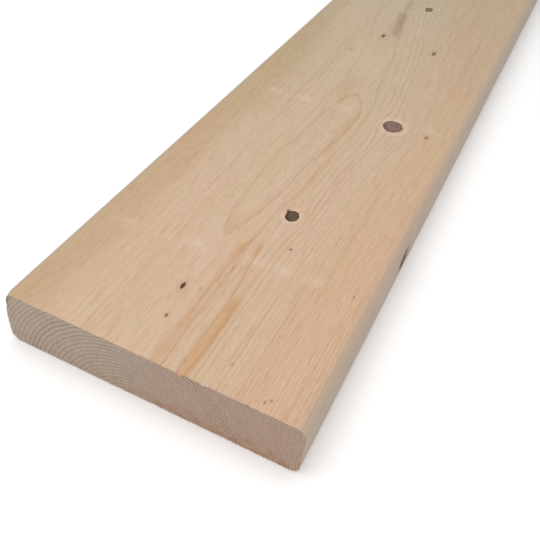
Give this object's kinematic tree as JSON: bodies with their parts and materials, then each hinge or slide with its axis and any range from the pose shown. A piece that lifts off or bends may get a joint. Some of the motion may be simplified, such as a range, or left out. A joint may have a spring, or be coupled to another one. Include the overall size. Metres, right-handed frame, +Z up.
{
  "type": "timber plank",
  "caption": "Planed softwood plank with eased long edges and square-cut ends, laid flat as a board or set on edge as a joist.",
  "frame": {"origin": "centre of the underside, the wide face that the plank lies on", "axes": "+X along the grain and the length, +Y across the width, +Z up through the thickness"},
  "size_m": [2.4384, 0.1842, 0.0381],
  "materials": {
    "softwood": "planed and unfinished, with sawn ends"
  },
  "bodies": {
    "root": {"plank": "softwood"}
  },
  "joints": []
}
